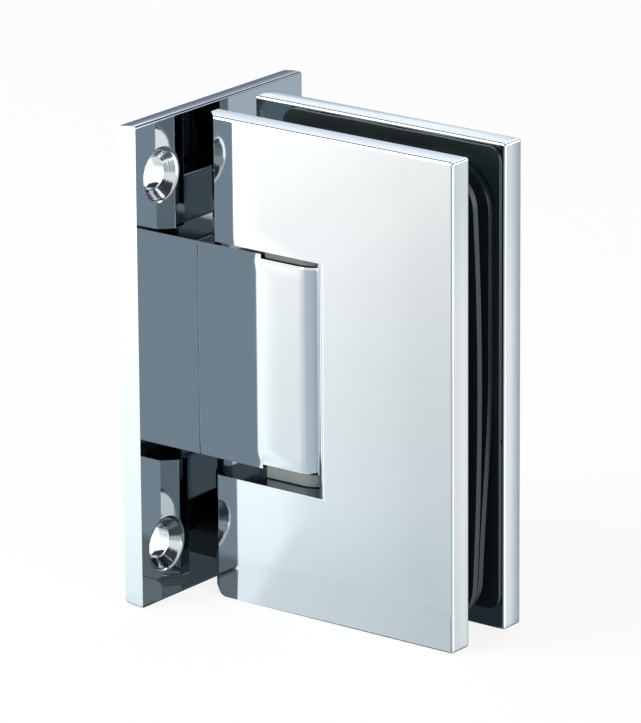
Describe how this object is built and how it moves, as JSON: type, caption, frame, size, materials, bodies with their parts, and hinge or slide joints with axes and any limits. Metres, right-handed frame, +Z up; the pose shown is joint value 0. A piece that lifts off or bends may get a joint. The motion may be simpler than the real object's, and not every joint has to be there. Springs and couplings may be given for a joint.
{
  "type": "glass door hinge",
  "caption": "Wall-to-glass door hinge: wall plate with a pivot block, and two notched clamp plates that grip the glass and swing both ways on a sprung-detent pin.",
  "frame": {"origin": "centre of the wall plate's back face, at mid height", "axes": "+X out of the wall, along the closed door's glass; +Y through the glass, from the plain front clamp plate to the rear one with the screws; +Z up, along the hinge pin"},
  "size_m": [0.0632, 0.048, 0.09],
  "materials": {
    "polished_chrome": "polished",
    "white_nylon": "satin",
    "black_gasket": "satin",
    "stainless_screw": "satin",
    "stainless_pin": "satin",
    "hardened_roller": "polished",
    "bare_brass": "satin",
    "spring_steel": "satin"
  },
  "bodies": {
    "wall_side": {"wall_plate": "polished_chrome", "pivot_block": "polished_chrome", "upper_bush": "white_nylon", "lower_bush": "white_nylon", "upper_spring": "spring_steel", "lower_spring": "spring_steel", "upper_block_screw": "stainless_screw", "lower_block_screw": "stainless_screw"},
    "door_side": {"pivot_pin": "stainless_pin", "front_plate": "polished_chrome", "rear_plate": "polished_chrome", "clamp_screw_upper_hinge_side": "stainless_screw", "clamp_screw_upper_glass_side": "stainless_screw", "clamp_screw_lower_hinge_side": "stainless_screw", "clamp_screw_lower_glass_side": "stainless_screw", "front_gasket": "black_gasket", "rear_gasket": "black_gasket", "front_spacer_gasket": "black_gasket", "rear_spacer_gasket": "black_gasket"},
    "detent_slide": {"pressure_block": "bare_brass"},
    "roller": {"detent_roller": "hardened_roller"}
  },
  "joints": [
    {"name": "door_swing", "type": "hinge", "parent": "wall_side", "child": "door_side", "pos_m": [0.025, 0, 0], "axis": [0, 0, 1], "range_deg": [-90, 90]},
    {"name": "detent_travel", "type": "slide", "parent": "wall_side", "child": "detent_slide", "axis": [1, 0, 0], "range_m": [0, 0.0008], "stiffness_N_per_m": 30000, "springref_m": 0.004, "deforming": ["upper_spring", "lower_spring"]},
    {"name": "roller_spin", "type": "hinge", "parent": "detent_slide", "child": "roller", "pos_m": [0.01795, 0, 0], "axis": [0, 0, 1], "continuous": true}
  ]
}
